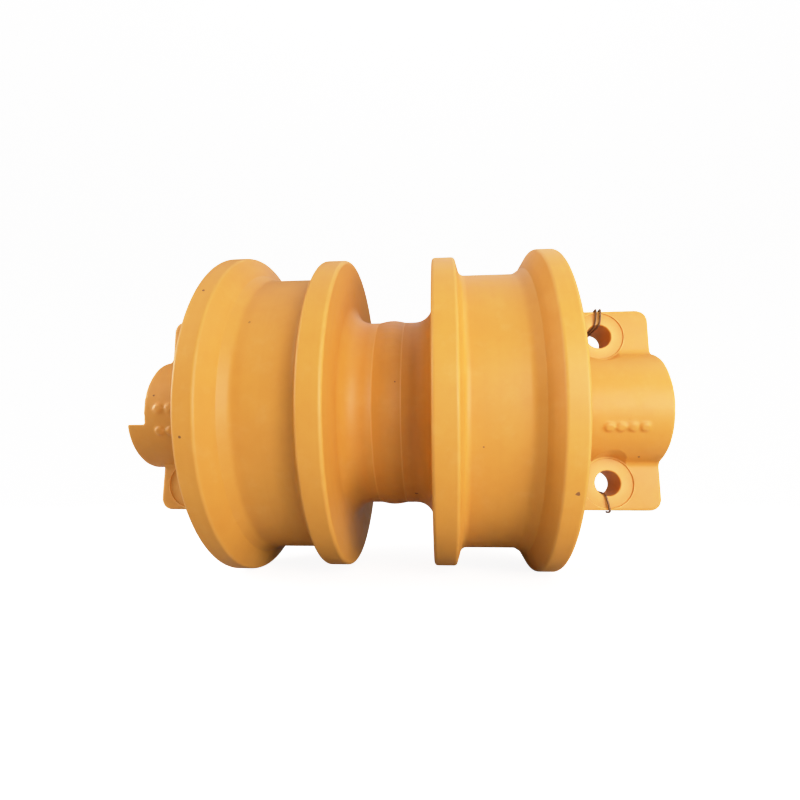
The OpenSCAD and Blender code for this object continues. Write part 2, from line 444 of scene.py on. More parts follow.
class Effect:
    """A shader effect that several finishes use, kept as a node group."""

    title = ""
    inputs: tuple[tuple[str, str, object], ...] = ()
    outputs: tuple[tuple[str, str], ...] = ()

    @classmethod
    def group(cls) -> NodeTree:
        """The effect's node group, built on first use.

        Returns:
            The node group.
        """
        known = bpy.data.node_groups.get(cls.title)
        if known is not None:
            return known
        tree = bpy.data.node_groups.new(cls.title, "ShaderNodeTree")
        for name, kind, value in cls.inputs:
            socket = tree.interface.new_socket(name=name, in_out="INPUT", socket_type=kind)
            if value is not None:
                socket.default_value = value
        for name, kind in cls.outputs:
            tree.interface.new_socket(name=name, in_out="OUTPUT", socket_type=kind)
        canvas = Canvas(tree)
        source = canvas.node("NodeGroupInput")
        sink = canvas.node("NodeGroupOutput")
        for name, socket in cls.build(canvas, source.outputs).items():
            tree.links.new(socket, sink.inputs[name])
        return tree

    @classmethod
    def build(cls, canvas: Canvas, given: object) -> dict[str, NodeSocket]:
        """Makes the effect's nodes.

        Args:
            canvas: Where the nodes go.
            given: The group's input sockets.

        Returns:
            The socket for each of the group's outputs.
        """
        raise NotImplementedError

    @classmethod
    def place(cls, canvas: Canvas, **values: object) -> Node:
        """Places the effect in a material.

        Args:
            canvas: The material's canvas.
            values: Its inputs, with spaces in their names written as underscores.

        Returns:
            The group node.
        """
        wires = {name.replace("_", " "): value for name, value in values.items()}
        made = canvas.node("ShaderNodeGroup", node_tree=cls.group())
        for name, value in wires.items():
            socket = made.inputs[name]
            if isinstance(value, NodeSocket):
                canvas.tree.links.new(value, socket)
            else:
                socket.default_value = value
        return made


class OrangePeel(Effect):
    """The fine dimpled skin and slow waves of sprayed enamel."""

    title = "orange_peel"
    inputs = (
        ("Place", "NodeSocketVector", None), ("Dimple", "NodeSocketFloat", 1.0),
        ("Wave", "NodeSocketFloat", 1.0),
    )
    outputs = (("Height", "NodeSocketFloat"),)

    @classmethod
    def build(cls, canvas: Canvas, given: object) -> dict[str, NodeSocket]:
        """Adds dimples about 1.5 mm apart and waves about 12 mm apart.

        Args:
            canvas: Where the nodes go.
            given: The group's input sockets.

        Returns:
            The socket of the height.
        """
        dimple = canvas.noise(given["Place"], 650.0, 1.5, 0.45)
        wave = canvas.noise(given["Place"], 85.0, 1.0, 0.4)
        fine = canvas.math("MULTIPLY", dimple, given["Dimple"])
        slow = canvas.math("MULTIPLY", wave, given["Wave"])
        return {"Height": canvas.math("MULTIPLY_ADD", slow, 3.0, fine)}


class CastSkin(Effect):
    """Sand grain and shallow pits of a casting, seen through the paint."""

    title = "cast_skin"
    inputs = (
        ("Place", "NodeSocketVector", None), ("Grain", "NodeSocketFloat", 1.0),
        ("Pits", "NodeSocketFloat", 1.0),
    )
    outputs = (("Height", "NodeSocketFloat"), ("Pit Mask", "NodeSocketFloat"))

    @classmethod
    def build(cls, canvas: Canvas, given: object) -> dict[str, NodeSocket]:
        """Mixes sand grain with sparse round pits.

        Args:
            canvas: Where the nodes go.
            given: The group's input sockets.

        Returns:
            The sockets of the height and of the pits.
        """
        grain = canvas.noise(given["Place"], 420.0, 4.0, 0.62)
        wires = {"Vector": given["Place"], "Scale": 190.0, "Randomness": 1.0}
        cells = canvas.node("ShaderNodeTexVoronoi", wires, feature="F1").outputs["Distance"]
        sparse = canvas.band(canvas.noise(given["Place"], 60.0, 1.0), 0.56, 0.66)
        pit = canvas.math("MULTIPLY", canvas.math("SUBTRACT", 1.0, canvas.band(cells, 0.10, 0.24)), sparse)
        deep = canvas.math("MULTIPLY", pit, given["Pits"])
        height = canvas.math("SUBTRACT", canvas.math("MULTIPLY", grain, given["Grain"]), deep)
        return {"Height": height, "Pit Mask": pit}


class TurningMarks(Effect):
    """Fine grooves that a lathe leaves round a turned part."""

    title = "turning_marks"
    inputs = (("Place", "NodeSocketVector", None), ("Depth", "NodeSocketFloat", 1.0))
    outputs = (("Height", "NodeSocketFloat"), ("Tone", "NodeSocketFloat"))

    @classmethod
    def build(cls, canvas: Canvas, given: object) -> dict[str, NodeSocket]:
        """Reads a one-dimensional noise along the shaft and outwards from it.

        Args:
            canvas: Where the nodes go.
            given: The group's input sockets.

        Returns:
            The sockets of the height and of the tone.
        """
        split = canvas.node("ShaderNodeSeparateXYZ", {"0": given["Place"]})
        square = canvas.math("POWER", split.outputs[0], 2.0)
        radius = canvas.math("SQRT", canvas.math("ADD", square, canvas.math("POWER", split.outputs[2], 2.0)))
        feed = canvas.math("MULTIPLY_ADD", radius, 1.3, split.outputs[1])
        fine = canvas.node(
            "ShaderNodeTexNoise", {"W": feed, "Scale": 1400.0, "Detail": 2.0}, noise_dimensions="1D",
        ).outputs[0]
        bands = canvas.node(
            "ShaderNodeTexNoise", {"W": feed, "Scale": 150.0, "Detail": 2.0}, noise_dimensions="1D",
        ).outputs[0]
        both = canvas.math("MULTIPLY_ADD", bands, 1.6, fine)
        return {"Height": canvas.math("MULTIPLY", both, given["Depth"]), "Tone": bands}


class ToneDrift(Effect):
    """Slow drift of a colour over a surface, with faint dust in places."""

    title = "tone_drift"
    inputs = (
        ("Place", "NodeSocketVector", None), ("Colour", "NodeSocketColor", (0.8, 0.8, 0.8, 1.0)),
        ("Deep", "NodeSocketColor", (0.5, 0.5, 0.5, 1.0)), ("Dust", "NodeSocketColor", (0.8, 0.7, 0.6, 1.0)),
        ("Drift", "NodeSocketFloat", 0.3), ("Dusting", "NodeSocketFloat", 0.1),
    )
    outputs = (("Colour", "NodeSocketColor"), ("Dust Mask", "NodeSocketFloat"))

    @classmethod
    def build(cls, canvas: Canvas, given: object) -> dict[str, NodeSocket]:
        """Drifts over some 30 mm and dusts in small clouds.

        Args:
            canvas: Where the nodes go.
            given: The group's input sockets.

        Returns:
            The sockets of the colour and of the dust.
        """
        slow = canvas.band(canvas.noise(given["Place"], 32.0, 3.0, 0.55), 0.35, 0.70)
        fine = canvas.band(canvas.noise(given["Place"], 240.0, 4.0, 0.6), 0.40, 0.75)
        share = canvas.math("MULTIPLY", canvas.math("MULTIPLY_ADD", fine, 0.4, slow), given["Drift"])
        base = canvas.blend(share, given["Colour"], given["Deep"])
        clouds = canvas.band(canvas.noise(given["Place"], 75.0, 5.0, 0.65), 0.50, 0.72)
        veil = canvas.math("MULTIPLY", clouds, given["Dusting"])
        return {"Colour": canvas.blend(veil, base, given["Dust"]), "Dust Mask": clouds}


class PaintNicks(Effect):
    """Small nicks and specks in paint."""

    title = "paint_nicks"
    inputs = (("Place", "NodeSocketVector", None), ("Amount", "NodeSocketFloat", 1.0))
    outputs = (("Mask", "NodeSocketFloat"),)

    @classmethod
    def build(cls, canvas: Canvas, given: object) -> dict[str, NodeSocket]:
        """Keeps a few small irregular cells out of many.

        Args:
            canvas: Where the nodes go.
            given: The group's input sockets.

        Returns:
            The socket of the nicks.
        """
        bend = canvas.node("ShaderNodeTexNoise", {"Vector": given["Place"], "Scale": 500.0}).outputs["Color"]
        reach = (0.0016, 0.0016, 0.0016)
        nudge = canvas.node("ShaderNodeVectorMath", {"0": bend, "1": reach}, operation="MULTIPLY").outputs[0]
        wires = {"0": given["Place"], "1": nudge}
        bent = canvas.node("ShaderNodeVectorMath", wires, operation="ADD").outputs[0]
        wires = {"Vector": bent, "Scale": 62.0, "Randomness": 1.0}
        cell = canvas.node("ShaderNodeTexVoronoi", wires, feature="F1")
        lot = canvas.node("ShaderNodeSeparateColor", {"0": cell.outputs["Color"]}).outputs[0]
        chosen = canvas.band(lot, 0.90, 0.93)
        size = canvas.math("MULTIPLY_ADD", lot, 0.5, -0.41)
        spot = canvas.math("LESS_THAN", cell.outputs["Distance"], size)
        return {"Mask": canvas.math("MULTIPLY", canvas.math("MULTIPLY", spot, chosen), given["Amount"])}


class PaintChip(Effect):
    """One small chip in the paint at a named place."""

    title = "paint_chip"
    inputs = (
        ("Place", "NodeSocketVector", None), ("Centre", "NodeSocketVector", None),
        ("Size", "NodeSocketFloat", 0.001),
    )
    outputs = (("Mask", "NodeSocketFloat"),)

    @classmethod
    def build(cls, canvas: Canvas, given: object) -> dict[str, NodeSocket]:
        """Keeps what lies within a ragged distance of the centre.

        Args:
            canvas: Where the nodes go.
            given: The group's input sockets.

        Returns:
            The socket of the chip.
        """
        wires = {"0": given["Place"], "1": given["Centre"]}
        away = canvas.node("ShaderNodeVectorMath", wires, operation="DISTANCE").outputs["Value"]
        ragged = canvas.math("MULTIPLY_ADD", canvas.noise(given["Place"], 900.0, 2.0), 1.4, 0.3)
        return {"Mask": canvas.math("LESS_THAN", away, canvas.math("MULTIPLY", ragged, given["Size"]))}


class EdgeHighlightAndThinning(Effect):
    """Paler colour along edges, from the mesh's own edge attribute: a painted highlight, with thinned paint
    there too.
    """

    title = "edge_highlight_and_thinning"
    inputs = (
        ("Place", "NodeSocketVector", None), ("Edge", "NodeSocketFloat", 0.0),
        ("Amount", "NodeSocketFloat", 1.0),
    )
    outputs = (("Mask", "NodeSocketFloat"),)

    @classmethod
    def build(cls, canvas: Canvas, given: object) -> dict[str, NodeSocket]:
        """Breaks the edge value up with noise.

        Args:
            canvas: Where the nodes go.
            given: The group's input sockets.

        Returns:
            The socket of the painted edge highlight, with thinned paint.
        """
        broken = canvas.math("MULTIPLY_ADD", canvas.noise(given["Place"], 120.0, 4.0, 0.6), 0.5, 0.75)
        raised = canvas.band(canvas.math("MULTIPLY", given["Edge"], broken), 0.10, 0.55)
        return {"Mask": canvas.math("MULTIPLY", raised, given["Amount"])}


Colour = tuple[float, float, float, float]


def new_material(name: str) -> tuple[Material, Canvas, Node, NodeSocket]:
    """Starts a material.

    Args:
        name: The material's name.

    Returns:
        The material, its canvas, its shader and the Object coordinates.
    """
    material = bpy.data.materials.new(name)
    material.use_nodes = True
    canvas = Canvas(material.node_tree)
    shader = material.node_tree.nodes["Principled BSDF"]
    place = canvas.node("ShaderNodeTexCoord").outputs["Object"]
    return material, canvas, shader, place


@dataclass(frozen=True)
class Enamel:
    """Satin machinery enamel over forged, turned or cast steel."""

    name: str
    colour: Colour = (0.75, 0.335, 0.050, 1.0)
    deep: Colour = (0.67, 0.270, 0.035, 1.0)
    dust: Colour = (0.86, 0.50, 0.16, 1.0)
    # Paler colour on convex edges: a painted highlight, with thinned paint there too.
    pale: Colour = (0.93, 0.52, 0.14, 1.0)
    nick: Colour = (0.27, 0.110, 0.035, 1.0)
    roughness: float = 0.50
    drift: float = 0.30
    dusting: float = 0.12
    dimple: float = 0.5
    wave: float = 0.6
    grain: float = 0.0
    pits: float = 0.0
    turning: float = 0.0
    nicks: float = 0.8
    bump: float = 0.35
    chips: tuple[tuple[float, float, float, float], ...] = ()

    def build(self) -> Material:
        """Makes the material.

        Returns:
            The material.
        """
        material, canvas, shader, place = new_material(self.name)
        tone = ToneDrift.place(
            canvas, Place=place, Colour=self.colour, Deep=self.deep, Dust=self.dust,
            Drift=self.drift, Dusting=self.dusting,
        )
        edge = canvas.node("ShaderNodeAttribute", attribute_name="edge").outputs["Fac"]
        edge_highlight_and_thinning_mask = EdgeHighlightAndThinning.place(canvas, Place=place, Edge=edge, Amount=0.75).outputs["Mask"]
        nicks = PaintNicks.place(canvas, Place=place, Amount=self.nicks).outputs["Mask"]
        for x, y, z, size in self.chips:
            chip = PaintChip.place(canvas, Place=place, Centre=Vector((x, y, z)) * MM, Size=size * MM)
            nicks = canvas.math("MAXIMUM", nicks, chip.outputs["Mask"])
        peel = OrangePeel.place(canvas, Place=place, Dimple=self.dimple, Wave=self.wave).outputs["Height"]
        skin = CastSkin.place(canvas, Place=place, Grain=self.grain, Pits=self.pits)
        marks = TurningMarks.place(canvas, Place=place, Depth=self.turning)
        # Paler colour blended in along convex edges: painted highlight, with thinned paint.
        light = canvas.blend(edge_highlight_and_thinning_mask, tone.outputs["Colour"], self.pale)
        # Deeper colour in the cast pits: painted shade in the pits.
        pit_shade = canvas.math("MULTIPLY", skin.outputs["Pit Mask"], 0.5 * self.pits)
        with_pit_shade = canvas.blend(pit_shade, light, self.deep)
        lined = canvas.math("MULTIPLY", canvas.band(marks.outputs["Tone"], 0.45, 0.7), 0.5 * self.turning)
        drawn = canvas.blend(lined, with_pit_shade, self.deep)
        canvas.tree.links.new(canvas.blend(nicks, drawn, self.nick), shader.inputs["Base Color"])
        dull = canvas.math("MULTIPLY_ADD", tone.outputs["Dust Mask"], 0.12, self.roughness)
        canvas.tree.links.new(canvas.math("MULTIPLY_ADD", nicks, 0.3, dull), shader.inputs["Roughness"])
        height = canvas.math("ADD", peel, skin.outputs["Height"])
        height = canvas.math("ADD", height, marks.outputs["Height"])
        height = canvas.math("MULTIPLY_ADD", nicks, -1.5, height)
        bump = canvas.node("ShaderNodeBump", {"Height": height, "Strength": self.bump, "Distance": 0.10 * MM})
        canvas.tree.links.new(bump.outputs["Normal"], shader.inputs["Normal"])
        shader.inputs["Coat Weight"].default_value = 0.06
        shader.inputs["Coat Roughness"].default_value = 0.30
        shader.inputs["Specular IOR Level"].default_value = 0.38
        return material


@dataclass(frozen=True)
class Metal:
    """Bare machined, ground or blackened metal."""

    name: str
    colour: Colour
    deep: Colour
    roughness: float = 0.3
    metallic: float = 1.0
    turning: float = 0.6
    bump: float = 0.3

    def build(self) -> Material:
        """Makes the material.

        Returns:
            The material.
        """
        material, canvas, shader, place = new_material(self.name)
        tone = ToneDrift.place(
            canvas, Place=place, Colour=self.colour, Deep=self.deep, Dust=self.deep, Drift=0.6, Dusting=0.3,
        )
        marks = TurningMarks.place(canvas, Place=place, Depth=self.turning)
        groove = canvas.math("MULTIPLY", marks.outputs["Tone"], 0.5)
        shade = canvas.blend(groove, tone.outputs["Colour"], self.deep)
        canvas.tree.links.new(shade, shader.inputs["Base Color"])
        smear = canvas.math("MULTIPLY_ADD", tone.outputs["Dust Mask"], 0.14, self.roughness)
        canvas.tree.links.new(smear, shader.inputs["Roughness"])
        wires = {"Height": marks.outputs["Height"], "Strength": self.bump, "Distance": 0.03 * MM}
        bump = canvas.node("ShaderNodeBump", wires)
        canvas.tree.links.new(bump.outputs["Normal"], shader.inputs["Normal"])
        shader.inputs["Metallic"].default_value = self.metallic
        return material


@dataclass(frozen=True)
class Rubber:
    """Moulded nitrile rubber of the seals."""

    name: str
    colour: Colour = (0.018, 0.018, 0.020, 1.0)
    bloom: Colour = (0.060, 0.058, 0.055, 1.0)
    roughness: float = 0.55

    def build(self) -> Material:
        """Makes the material.

        Returns:
            The material.
        """
        material, canvas, shader, place = new_material(self.name)
        tone = ToneDrift.place(
            canvas, Place=place, Colour=self.colour, Deep=self.colour, Dust=self.bloom,
            Drift=0.2, Dusting=0.5,
        )
        peel = OrangePeel.place(canvas, Place=place, Dimple=0.6, Wave=0.2).outputs["Height"]
        canvas.tree.links.new(tone.outputs["Colour"], shader.inputs["Base Color"])
        dull = canvas.math("MULTIPLY_ADD", tone.outputs["Dust Mask"], 0.15, self.roughness)
        canvas.tree.links.new(dull, shader.inputs["Roughness"])
        bump = canvas.node("ShaderNodeBump", {"Height": peel, "Strength": 0.3, "Distance": 0.05 * MM})
        canvas.tree.links.new(bump.outputs["Normal"], shader.inputs["Normal"])
        return material


@dataclass(frozen=True)
class HalfPainted:
    """Ground steel inside the roller, enamelled where it shows outside."""

    name: str
    paint: Enamel
    steel: Metal
    paint_from_y: float = 121.0

    def build(self) -> Material:
        """Makes the material.

        Returns:
            The material.
        """
        material, canvas, shader, place = new_material(self.name)
        paint, steel = self.paint, self.steel
        out = canvas.math("ABSOLUTE", canvas.node("ShaderNodeSeparateXYZ", {"0": place}).outputs[1])
        painted = canvas.math("GREATER_THAN", out, self.paint_from_y * MM)
        enamel = ToneDrift.place(
            canvas, Place=place, Colour=paint.colour, Deep=paint.deep, Dust=paint.dust,
            Drift=paint.drift, Dusting=paint.dusting,
        )
        metal = ToneDrift.place(
            canvas, Place=place, Colour=steel.colour, Deep=steel.deep, Dust=steel.deep,
            Drift=0.5, Dusting=0.2,
        )
        colour = canvas.blend(painted, metal.outputs["Colour"], enamel.outputs["Colour"])
        canvas.tree.links.new(colour, shader.inputs["Base Color"])
        canvas.tree.links.new(canvas.math("SUBTRACT", 1.0, painted), shader.inputs["Metallic"])
        dull = canvas.math("MULTIPLY_ADD", painted, paint.roughness - steel.roughness, steel.roughness)
        canvas.tree.links.new(dull, shader.inputs["Roughness"])
        peel = OrangePeel.place(canvas, Place=place, Dimple=paint.dimple, Wave=paint.wave).outputs["Height"]
        marks = TurningMarks.place(canvas, Place=place, Depth=0.6).outputs["Height"]
        height = canvas.math("ADD", peel, marks)
        bump = canvas.node("ShaderNodeBump", {"Height": height, "Strength": 0.3, "Distance": 0.08 * MM})
        canvas.tree.links.new(bump.outputs["Normal"], shader.inputs["Normal"])
        return material


class Finish(Enum):
    """The roller's finishes, by the record's material slots."""

    FORGING = "painted_forging"
    CASTING = "painted_casting"
    SHAFT = "shaft_steel"
    STEEL = "machined_steel"
    BRONZE = "bronze"
    IRON = "lapped_iron"
    RUBBER = "seal_rubber"
    FASTENER = "fastener_steel"


FORGED_PAINT = Enamel("enamel_on_forging", turning=0.22, chips=(
    (102.5, 109.9, -62.4, 1.2), (103.3, -109.0, 61.0, 0.9), (115.9, -110.0, -31.0, 0.8),
    (20.0, 40.0, -114.8, 1.6), (97.2, 60.0, -36.0, 0.5), (70.9, 6.0, 9.3, 0.6),
))
CAST_PAINT = Enamel("enamel_on_casting", grain=0.9, pits=0.7, turning=0.0, bump=0.45, chips=(
    (20.8, 178.0, -37.9, 1.0), (12.0, 168.0, -70.0, 0.7), (42.4, -176.0, 8.2, 0.7),
))
GROUND_STEEL = Metal("ground_steel", (0.56, 0.56, 0.57, 1.0), (0.38, 0.37, 0.36, 1.0), 0.22)
RECIPES = {
    Finish.FORGING: FORGED_PAINT,
    Finish.CASTING: CAST_PAINT,
    Finish.SHAFT: HalfPainted("shaft_steel_and_enamel", FORGED_PAINT, GROUND_STEEL),
    Finish.STEEL: Metal("turned_steel", (0.52, 0.52, 0.53, 1.0), (0.33, 0.32, 0.31, 1.0), 0.32),
    Finish.BRONZE: Metal("bored_bronze", (0.70, 0.43, 0.17, 1.0), (0.45, 0.24, 0.09, 1.0), 0.28),
    Finish.IRON: Metal("lapped_iron", (0.34, 0.34, 0.35, 1.0), (0.20, 0.20, 0.21, 1.0), 0.24),
    Finish.RUBBER: Rubber("nitrile_rubber"),
    Finish.FASTENER: Metal("black_oxide_steel", (0.07, 0.07, 0.08, 1.0), (0.03, 0.03, 0.03, 1.0), 0.4),
}


class PaintShop:
    """Gives pieces and CAD nodes their finishes."""

    def __init__(self) -> None:
        """Starts with no material made."""
        self.made: dict[Finish, Material] = {}

    def material(self, finish: Finish) -> Material:
        """The finish's material, built on first use.

        Args:
            finish: The finish that is asked for.

        Returns:
            Its material.
        """
        if finish not in self.made:
            self.made[finish] = RECIPES[finish].build()
        return self.made[finish]

    def dress(self, piece: Object, finish: Finish) -> None:
        """Puts a finish on a piece or CAD node.

        Args:
            piece: The object to dress.
            finish: Its finish.
        """
        piece.data.materials.clear()
        piece.data.materials.append(self.material(finish))

    def fit(self, piece: Object, finish: Finish, body: Body, *nodes: str) -> None:
        """Dresses a new piece, lets it ride and hides the CAD nodes that it replaces.

        Args:
            piece: The new piece.
            finish: Its finish.
            body: The body that it moves with.
            nodes: The CAD nodes that it replaces.
        """
        self.dress(piece, finish)
        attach(piece, body.value)
        if nodes:
            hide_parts(*nodes)
        LOG.info("%s: %d faces, rides on %s", piece.name, len(piece.data.polygons), body.value)


# ------------------------------------------------------------------ the roller's shell


@dataclass
class Shell:
    """The two forged half shells and the weld that joins them. Sizes in millimetres."""

    outer_flange_r: float = 120.0
    inner_flange_r: float = 116.5
    tread_r: float = 103.7
    neck_r: float = 70.6
    inner_face_y: float = 30.3
    inner_rim_y: float = 46.0
    outer_rim_y: float = 101.0
    end_y: float = 115.6
    rim_round: float = 2.4
    edge_round: float = 1.5
    bore_round: float = 0.8
    neck_fillet_r: float = 13.5
    inner_foot_w: float = 3.9
    inner_foot_r: float = 4.8
    shoulder_in: float = 5.9
    shoulder_w: float = 6.2
    shoulder_h: float = 3.9
    shoulder_round: float = 1.6
    outer_foot_r: float = 6.0
    rim_step: float = 1.2
    recess_out_r: float = 106.0
    recess_in_r: float = 76.0
    recess_slope: float = 3.0
    recess_depth: float = 2.5
    cup_room_r: float = 66.0
    cup_room_y: float = 103.0
    housing_flange_r: float = 61.2
    housing_flange_y: float = 92.0
    housing_r: float = 60.0
    housing_y: float = 80.0
    weld_half_w: float = 10.0
    weld_depth: float = 8.0
    weld_crown: float = 1.5
    weld_ripples: int = 61
    weld_ripple_h: float = 0.06
    weld_uneven_h: float = 0.30
    bore_r: float = 46.0
    screw_pcd_r: float = 53.0
    screw_r: float = 3.0
    screw_tip_y: float = 68.0
    screw_count: int = 6
    crease_degrees: float = 50.0

    def section(self) -> list[Corner]:
        """The corners of the right half's section, from the bore outwards.

        Returns:
            The corners in order.
        """
        shoulder_y = self.outer_rim_y - self.shoulder_in
        recess_y = self.end_y - self.recess_depth
        return [
            Corner(self.bore_r, 0.0),
            Corner(self.neck_r - self.weld_depth, 0.0),
            Corner(self.neck_r, self.weld_half_w),
            Corner(self.neck_r, self.inner_face_y, self.neck_fillet_r),
            Corner(self.inner_flange_r, self.inner_face_y, self.rim_round),
            Corner(self.inner_flange_r, self.inner_rim_y, self.rim_round),
            Corner(self.tread_r, self.inner_rim_y + self.inner_foot_w, self.inner_foot_r),
            Corner(self.tread_r, shoulder_y - self.shoulder_w, self.outer_foot_r),
            Corner(self.tread_r + self.shoulder_h, shoulder_y, self.shoulder_round),
            Corner(self.outer_flange_r, self.outer_rim_y + self.rim_step, self.rim_round),
            Corner(self.outer_flange_r, self.end_y, self.rim_round),
            Corner(self.recess_out_r, self.end_y, self.edge_round),
            Corner(self.recess_out_r - self.recess_slope, recess_y, self.edge_round),
            Corner(self.recess_in_r + self.recess_slope, recess_y, self.edge_round),
            Corner(self.recess_in_r, self.end_y, self.edge_round),
            Corner(self.cup_room_r, self.end_y, self.bore_round),
            Corner(self.cup_room_r, self.cup_room_y),
            Corner(self.housing_flange_r, self.cup_room_y, 0.75 * self.bore_round),
            Corner(self.housing_flange_r, self.housing_flange_y),
            Corner(self.housing_r, self.housing_flange_y, 0.625 * self.bore_round),
            Corner(self.housing_r, self.housing_y),
            Corner(self.bore_r, self.housing_y, self.bore_round),
        ]

    def screw_holes(self, side: Side) -> bmesh.types.BMesh:
        """Cutter for the tapped holes of the bushing housing's screws.

        Args:
            side: The side that the holes are on.

        Returns:
            The bars that are taken away.
        """
        bars = []
        for index in range(self.screw_count):
            turn = Matrix.Rotation(math.tau * (index + 0.5) / self.screw_count, 4, "Z")
            out = Matrix.Translation(Vector((self.screw_pcd_r, 0.0, self.screw_tip_y)) * MM)
            length = self.housing_y + 1.0 - self.screw_tip_y
            bars.append(round_bar(self.screw_r, length, ALONG_SHAFT @ turn @ out, sides=32))
        return to_side(merged(bars), side)

    def half(self, side: Side) -> Object:
        """Builds one half shell.

        Args:
            side: Which half.

        Returns:
            The half shell's piece.
        """
        shape = to_side(turned(rounded_outline(self.section())), side)
        piece = add_part(f"half_shell_{side.word}", shape, self.crease_degrees)
        cut(piece, [self.screw_holes(side)])
        piece.data.set_sharp_from_angle(angle=math.radians(self.crease_degrees))
        return mark_edges(piece)

    def weld(self) -> Object:
        """Builds the weld bead, a low crown with the faint ripples of its passes.

        Returns:
            The weld's piece.
        """
        half, crown = self.weld_half_w, self.weld_crown
        corners = [Corner(self.neck_r - self.weld_depth, 0.0)]
        for step in range(17):
            share = 1.0 - step / 8.0
            corners.append(Corner(self.neck_r + crown * (1.0 - share * share) ** 1.3, half * share))
        shape = turned(rounded_outline(corners), steps=2 * TURN_STEPS)
        for vert in shape.verts:
            radius = math.hypot(vert.co.x, vert.co.z)
            lift = max(0.0, radius / MM - self.neck_r) / crown
            angle = math.atan2(vert.co.z, vert.co.x)
            lag = (vert.co.y / MM) ** 2 * 0.03
            ripple = self.weld_ripple_h * math.sin(angle * self.weld_ripples + lag)
            ripple += self.weld_uneven_h * noise.noise(vert.co * 55.0)
            scale = 1.0 + MM * lift * (ripple - 0.1) / radius
            vert.co.x *= scale
            vert.co.z *= scale
        return mark_edges(add_part("weld_bead", shape, 60.0), 1)

    def assemble(self, shop: PaintShop) -> None:
        """Builds and dresses the shell.

        Args:
            shop: Where the finishes come from.
        """
        for side in Side:
            shop.fit(self.half(side), Finish.FORGING, Body.TURNING, f"shell_{side.word}")
        shop.fit(self.weld(), Finish.FORGING, Body.TURNING, "centre_weld")


# ------------------------------------------------------------------ end collars


